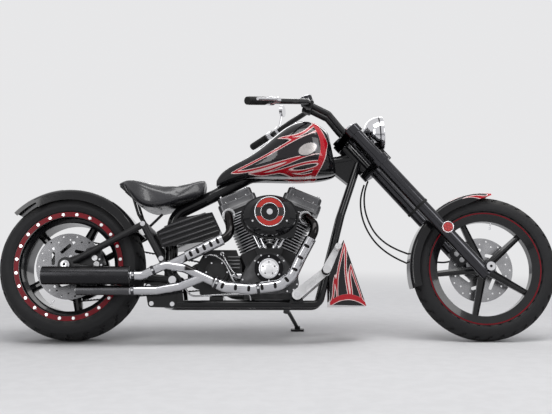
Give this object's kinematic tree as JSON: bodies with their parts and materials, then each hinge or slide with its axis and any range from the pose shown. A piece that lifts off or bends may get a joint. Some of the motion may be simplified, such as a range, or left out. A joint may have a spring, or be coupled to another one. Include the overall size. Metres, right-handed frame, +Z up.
{
  "type": "chopper motorcycle",
  "caption": "Long chopper motorcycle with a raked fork, V-twin engine and solo seat, leaning on its side stand.",
  "frame": {"origin": "middle of the bounding box's underside, on the ground between the tyres", "axes": "+X forward along the machine, +Y to the rider's left, +Z up; the machine leans 9 degrees to its left"},
  "size_m": [2.4888, 0.9068, 1.1176],
  "materials": {
    "aluminium": "machined aluminium",
    "belt": "toothed belt rubber",
    "chrome": "polished chrome",
    "disc_steel": "ground disc steel",
    "engine_black": "fine wrinkle black engine paint",
    "fin_black": "black fins with machined edges",
    "flame_paint": "gloss black with red flames and pale outlines",
    "gloss_black": "gloss black paint",
    "lamp_glass": "clear lamp glass",
    "leather": "dark grey leather",
    "red_lens": "red lamp lens",
    "rocker_grey": "dark grey metallic engine paint",
    "rubber": "black rubber",
    "satin_black": "satin black powder coat",
    "satin_steel": "satin steel",
    "tyre": "black tyre rubber",
    "wheel_black": "gloss black wheel with a dark red rim ring"
  },
  "bodies": {
    "chassis": {"air_cleaner": "gloss_black", "cam_cover": "engine_black", "chin_spoiler": "flame_paint", "crankcase": "engine_black", "cylinders": "fin_black", "drive_belt": "belt", "exhaust_pipes": "chrome", "foot_control_left": "aluminium", "foot_control_right": "aluminium", "frame": "gloss_black", "front_pulley": "satin_black", "fuel_cap": "gloss_black", "fuel_tank": "flame_paint", "gearbox": "engine_black", "heads": "fin_black", "heat_shields": "chrome", "intake": "satin_black", "mufflers": "satin_black", "oil_tank": "satin_black", "primary_cover": "engine_black", "pushrod_tubes": "chrome", "rear_axle": "satin_steel", "rear_caliper": "satin_black", "rear_fender": "gloss_black", "regulator": "satin_black", "rocker_boxes": "rocker_grey", "seat": "leather", "seat_stays": "chrome", "swingarm": "gloss_black", "tail_lamp": "red_lens", "timer_cover": "chrome"},
    "steering": {"bar_levers": "gloss_black", "brake_hose": "rubber", "fork_leg_left": "gloss_black", "fork_leg_right": "gloss_black", "front_axle": "satin_steel", "front_caliper": "satin_black", "front_fender": "flame_paint", "gauge": "chrome", "grips": "rubber", "handlebar": "gloss_black", "headlamp": "chrome", "headlamp_lens": "lamp_glass", "lamp_bracket": "gloss_black", "lower_tree": "gloss_black", "marker_lamps": "red_lens", "mirror": "gloss_black", "risers": "gloss_black", "sensor_hose": "rubber", "upper_tree": "gloss_black"},
    "front_wheel_body": {"front_disc": "disc_steel", "front_tyre": "tyre", "front_wheel": "wheel_black"},
    "rear_wheel_body": {"rear_disc": "disc_steel", "rear_pulley": "satin_black", "rear_tyre": "tyre", "rear_wheel": "wheel_black"},
    "stand_body": {"side_stand": "gloss_black"}
  },
  "joints": [
    {"name": "steering_turn", "type": "hinge", "parent": "chassis", "child": "steering", "pos_m": [0.2902, -0.01507, 0.8794], "axis": [-0.6691, 0.1163, 0.734], "range_deg": [-22, 22]},
    {"name": "front_wheel_spin", "type": "hinge", "parent": "steering", "child": "front_wheel_body", "pos_m": [0.9225, -0.10389, 0.31865], "axis": [0, 0.9877, -0.1564], "continuous": true},
    {"name": "rear_wheel_spin", "type": "hinge", "parent": "chassis", "child": "rear_wheel_body", "pos_m": [-0.9205, -0.10328, 0.32247], "axis": [0, 0.9877, -0.1564], "continuous": true},
    {"name": "stand_fold", "type": "hinge", "parent": "chassis", "child": "stand_body", "pos_m": [0.0395, 0.00738, 0.12625], "axis": [0.0925, 0.501, 0.8605], "range_deg": [0, 86]}
  ]
}
